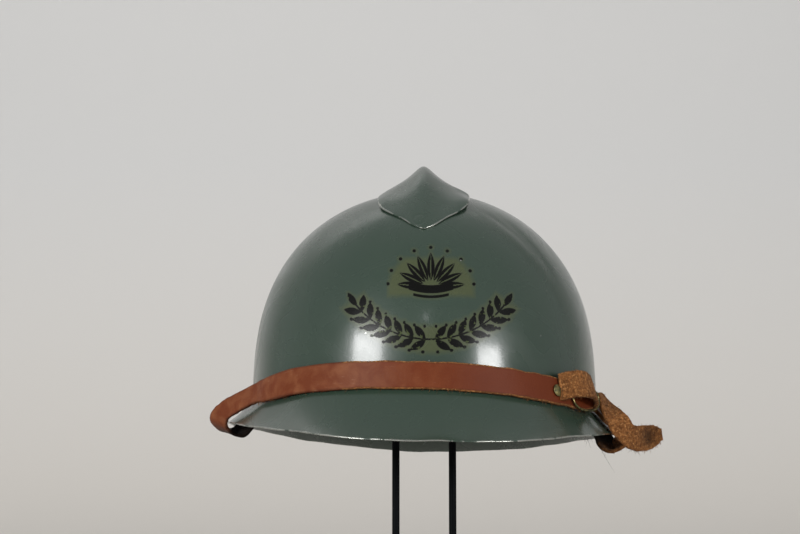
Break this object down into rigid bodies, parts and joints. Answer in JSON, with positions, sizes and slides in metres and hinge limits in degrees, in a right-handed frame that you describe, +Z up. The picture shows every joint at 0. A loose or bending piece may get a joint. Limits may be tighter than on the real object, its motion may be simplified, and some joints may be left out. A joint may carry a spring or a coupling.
{
  "type": "steel helmet on display stand",
  "caption": "Green enamelled steel helmet with a ridge comb, an all-round brim and a red-brown leather chin strap over the visor, on a black stand with slim rods.",
  "frame": {"origin": "middle of the underside of the stand's round base, under the middle of the helmet", "axes": "+Z up, -Y towards the visor, +X towards the wearer's left, where the ring and the loose strap end are"},
  "size_m": [0.257, 0.288, 0.2893],
  "materials": {
    "enamel": "glossy stoved grey-green enamel with small chips and a bright worn rim",
    "leather": "smooth red-brown grain side, rough brown flesh side, worn pale patches",
    "brass": "dull brass with an olive patina",
    "black_steel": "satin black paint",
    "pad_rubber": "matt black rubber pad"
  },
  "bodies": {
    "root": {"bowl": "enamel", "brim": "enamel", "comb": "enamel", "strap_long": "leather", "strap_short": "leather", "strap_stud": "brass", "strap_ring": "brass", "strap_bracket_left": "black_steel", "strap_bracket_right": "black_steel", "stand_base": "black_steel", "stand_rod_left": "black_steel", "stand_rod_right": "black_steel", "stand_saddle": "pad_rubber"}
  },
  "joints": []
}
